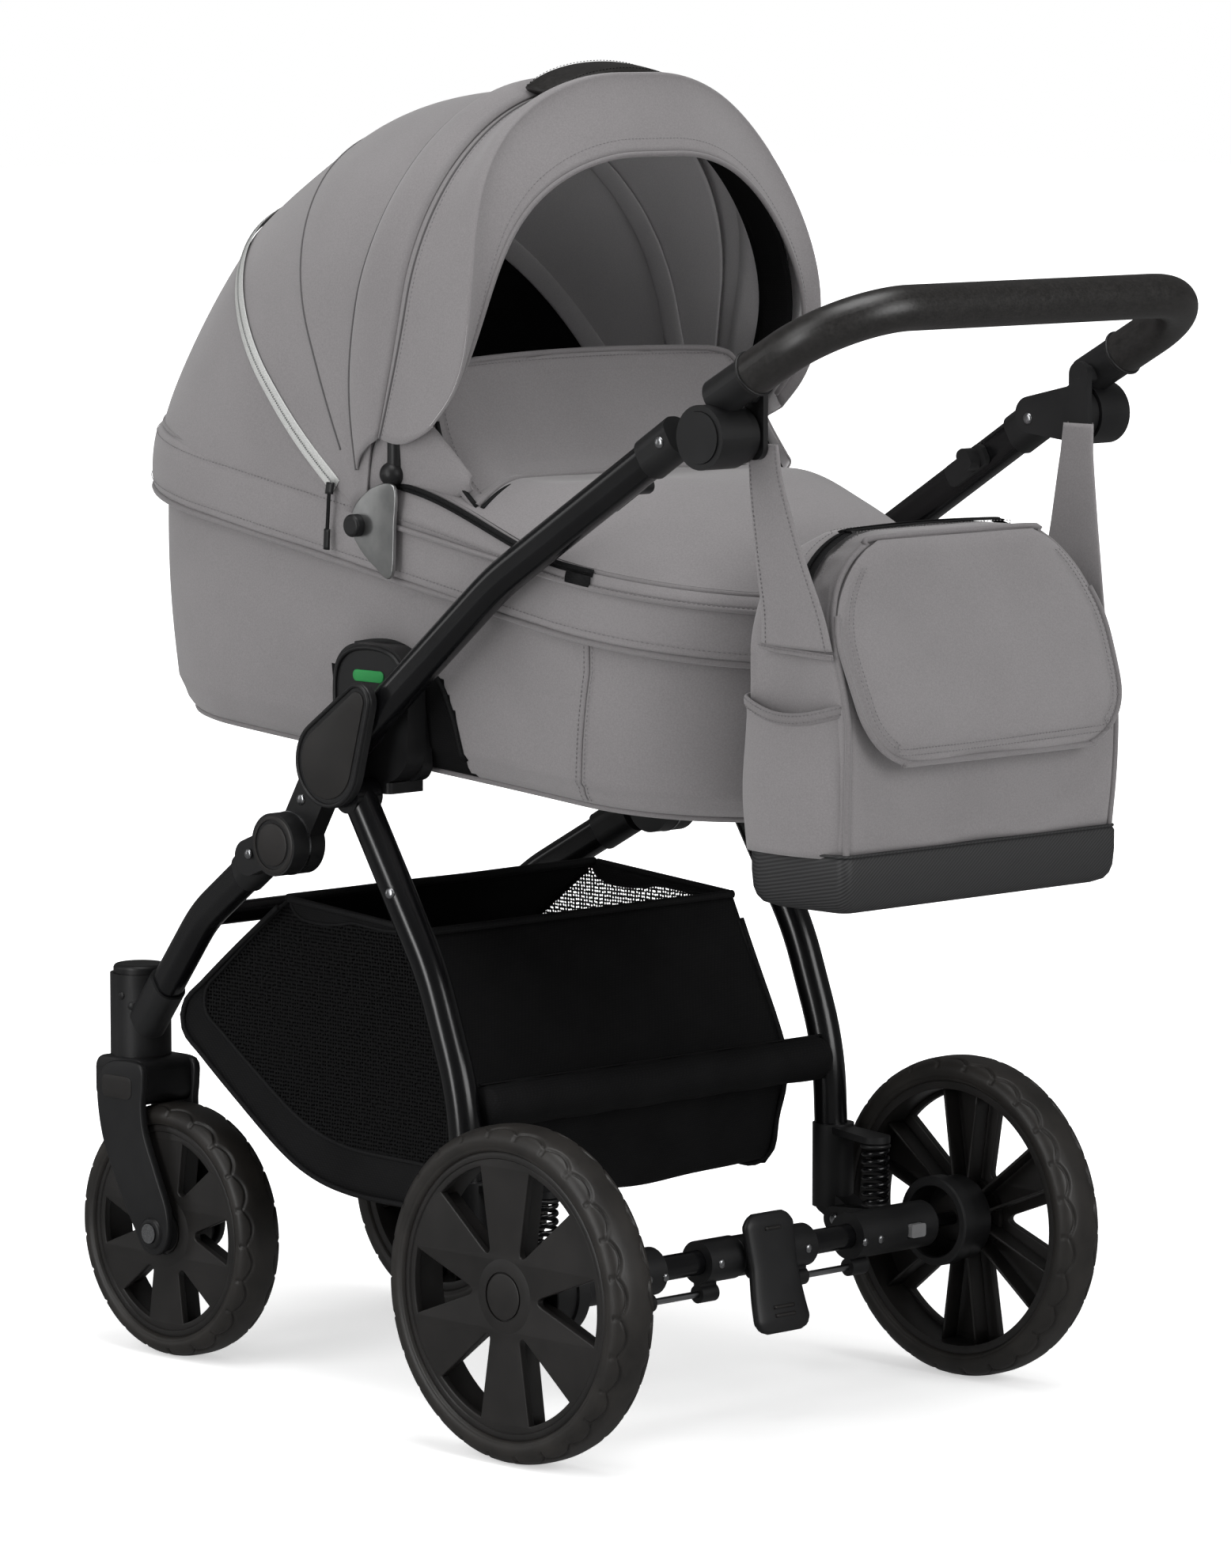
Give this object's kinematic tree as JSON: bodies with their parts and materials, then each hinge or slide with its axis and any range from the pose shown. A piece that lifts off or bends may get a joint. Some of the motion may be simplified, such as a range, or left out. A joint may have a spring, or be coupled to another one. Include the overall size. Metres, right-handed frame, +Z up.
{
  "type": "baby stroller",
  "caption": "Four-wheeled pram: folding chassis with tilting handle and sprung axle, carrycot with folding hood and apron, shopping basket and hanging bag.",
  "frame": {"origin": "on the floor under the middle of the overall box", "axes": "+Z up, -Y the way the stroller is pushed, +X the stroller's left side"},
  "size_m": [0.603, 1.0263, 1.1863],
  "materials": {
    "frame_metal": "satin black coat",
    "plastic": "fine-grained black",
    "rim_plastic": "semi-matt black",
    "steel": "bright",
    "tyre": "matt black rubber",
    "grip": "dark leatherette",
    "cloth": "grey melange weave",
    "black_cloth": "black weave and mesh",
    "bedding": "white cotton",
    "button": "grey",
    "plate": "satin silver"
  },
  "bodies": {
    "upper_frame": {"main_tubes": "frame_metal", "upper_knuckles": "plastic", "hub_covers": "plastic", "receivers": "plastic", "pivot_collars": "plastic"},
    "front_frame": {"front_tubes": "frame_metal", "lower_knuckles": "plastic", "front_cross_tube": "frame_metal", "fork_sockets": "plastic", "swivel_caps": "plastic"},
    "rear_frame": {"rear_legs": "frame_metal", "leg_sockets": "plastic", "roll_bar": "black_cloth", "basket": "black_cloth", "springs": "frame_metal"},
    "rear_axle": {"axle_tube": "frame_metal", "axle_housings": "plastic", "pedal_collars": "plastic"},
    "pedal": {"brake_pedal": "plastic"},
    "handle": {"handle_tube": "frame_metal", "handle_grip": "grip", "handle_ends": "plastic"},
    "clips": {"bag_clips": "plastic"},
    "bag": {"bag_body": "cloth", "bag_base": "black_cloth", "bag_flap": "cloth", "bag_straps": "cloth"},
    "carrycot": {"cot_shell": "cloth", "rim_band": "cloth", "cot_adapters": "plastic", "mattress": "bedding", "apron": "cloth", "hood_back": "cloth", "hood_plates": "plate", "hood_knobs": "plastic"},
    "hood_middle": {"hood_middle": "cloth"},
    "hood_front": {"hood_front": "cloth", "carry_handle": "grip"},
    "rear_wheel_left": {"rear_rim_left": "rim_plastic", "rear_tyre_left": "tyre"},
    "front_wheel_left": {"front_rim_left": "rim_plastic", "front_tyre_left": "tyre"},
    "fork_left": {"fork_left": "plastic", "front_axle_left": "steel"},
    "trigger_left": {"fold_trigger_left": "plastic"},
    "rod_left": {"brake_rod_left": "steel"},
    "release_left": {"release_button_left": "button"},
    "pivot_press_left": {"pivot_button_left": "plastic"},
    "rear_wheel_right": {"rear_rim_right": "rim_plastic", "rear_tyre_right": "tyre"},
    "front_wheel_right": {"front_rim_right": "rim_plastic", "front_tyre_right": "tyre"},
    "fork_right": {"fork_right": "plastic", "front_axle_right": "steel"},
    "trigger_right": {"fold_trigger_right": "plastic"},
    "rod_right": {"brake_rod_right": "steel"},
    "release_right": {"release_button_right": "button"},
    "pivot_press_right": {"pivot_button_right": "plastic"}
  },
  "joints": [
    {"name": "frame_fold", "type": "hinge", "parent": "upper_frame", "child": "front_frame", "pos_m": [0, -0.176, 0.496], "axis": [1, 0, 0], "range_deg": [0, 125], "deforming": ["basket"]},
    {"name": "rear_leg_fold", "type": "hinge", "parent": "upper_frame", "child": "rear_frame", "pos_m": [0, -0.09, 0.545], "axis": [1, 0, 0], "range_deg": [0, 88]},
    {"name": "rear_suspension", "type": "hinge", "parent": "rear_frame", "child": "rear_axle", "pos_m": [0, 0.076, 0.139], "axis": [1, 0, 0], "range_deg": [0, 8], "stiffness_Nm_per_rad": 60, "springref_deg": -11.46, "deforming": ["springs"]},
    {"name": "rear_wheel_spin_left", "type": "hinge", "parent": "rear_axle", "child": "rear_wheel_left", "pos_m": [0.2775, 0.168, 0.145], "axis": [1, 0, 0], "continuous": true},
    {"name": "fork_swivel_left", "type": "hinge", "parent": "front_frame", "child": "fork_left", "pos_m": [0.169, -0.451, 0.3], "axis": [0, 0, 1], "continuous": true},
    {"name": "front_wheel_spin_left", "type": "hinge", "parent": "fork_left", "child": "front_wheel_left", "pos_m": [0.169, -0.397, 0.1163], "axis": [1, 0, 0], "continuous": true},
    {"name": "brake_rod_slide_left", "type": "slide", "parent": "rear_axle", "child": "rod_left", "axis": [1, 0, 0], "range_m": [-0.004, 0.004]},
    {"name": "wheel_release_left", "type": "slide", "parent": "rear_axle", "child": "release_left", "axis": [0, -1, 0], "range_m": [0, 0.003], "stiffness_N_per_m": 800, "springref_m": -0.002},
    {"name": "pivot_press_left", "type": "slide", "parent": "handle", "child": "pivot_press_left", "axis": [-1, 0, 0], "range_m": [0, 0.003], "stiffness_N_per_m": 800, "springref_m": -0.002},
    {"name": "fold_trigger_slide_left", "type": "slide", "parent": "upper_frame", "child": "trigger_left", "axis": [0, 0.8526, 0.5226], "range_m": [0, 0.012], "stiffness_N_per_m": 200, "springref_m": -0.01},
    {"name": "rear_wheel_spin_right", "type": "hinge", "parent": "rear_axle", "child": "rear_wheel_right", "pos_m": [-0.2775, 0.168, 0.145], "axis": [1, 0, 0], "continuous": true},
    {"name": "fork_swivel_right", "type": "hinge", "parent": "front_frame", "child": "fork_right", "pos_m": [-0.169, -0.451, 0.3], "axis": [0, 0, 1], "continuous": true},
    {"name": "front_wheel_spin_right", "type": "hinge", "parent": "fork_right", "child": "front_wheel_right", "pos_m": [-0.169, -0.397, 0.1163], "axis": [1, 0, 0], "continuous": true},
    {"name": "brake_rod_slide_right", "type": "slide", "parent": "rear_axle", "child": "rod_right", "axis": [1, 0, 0], "range_m": [-0.004, 0.004]},
    {"name": "wheel_release_right", "type": "slide", "parent": "rear_axle", "child": "release_right", "axis": [0, -1, 0], "range_m": [0, 0.003], "stiffness_N_per_m": 800, "springref_m": -0.002},
    {"name": "pivot_press_right", "type": "slide", "parent": "handle", "child": "pivot_press_right", "axis": [1, 0, 0], "range_m": [0, 0.003], "stiffness_N_per_m": 800, "springref_m": -0.002},
    {"name": "fold_trigger_slide_right", "type": "slide", "parent": "upper_frame", "child": "trigger_right", "axis": [0, 0.8526, 0.5226], "range_m": [0, 0.012], "stiffness_N_per_m": 200, "springref_m": -0.01},
    {"name": "brake_pedal_rock", "type": "hinge", "parent": "rear_axle", "child": "pedal", "pos_m": [0, 0.168, 0.145], "axis": [1, 0, 0], "range_deg": [-15, 15]},
    {"name": "handle_tilt", "type": "hinge", "parent": "upper_frame", "child": "handle", "pos_m": [0, 0.354, 0.879], "axis": [1, 0, 0], "range_deg": [-50, 20]},
    {"name": "bag_hang", "type": "hinge", "parent": "handle", "child": "clips", "pos_m": [0, 0.369, 0.914], "axis": [1, 0, 0], "range_deg": [-20, 50]},
    {"name": "bag_lift", "type": "slide", "parent": "clips", "child": "bag", "axis": [0, 0, 1], "range_m": [0, 0.66]},
    {"name": "carrycot_lift", "type": "slide", "parent": "upper_frame", "child": "carrycot", "axis": [0, 0, 1], "range_m": [0, 0.66]},
    {"name": "hood_front_fold", "type": "hinge", "parent": "carrycot", "child": "hood_front", "pos_m": [0, -0.1, 0.78], "axis": [1, 0, 0], "range_deg": [0, 65]},
    {"name": "hood_middle_fold", "type": "hinge", "parent": "carrycot", "child": "hood_middle", "pos_m": [0, -0.1, 0.78], "axis": [1, 0, 0], "range_deg": [0, 34]}
  ],
  "couplings": [
    {"joint": "rear_leg_fold", "follows": "frame_fold", "ratio": 0.704},
    {"joint": "carrycot_lift", "follows": "frame_fold", "m_per_rad": 0.3},
    {"joint": "bag_lift", "follows": "frame_fold", "m_per_rad": 0.3},
    {"joint": "bag_hang", "follows": "handle_tilt", "ratio": -1},
    {"joint": "hood_middle_fold", "follows": "hood_front_fold", "ratio": 0.5},
    {"joint": "brake_rod_slide_left", "follows": "brake_pedal_rock", "m_per_rad": 0.0152},
    {"joint": "brake_rod_slide_right", "follows": "brake_pedal_rock", "m_per_rad": -0.0152}
  ]
}
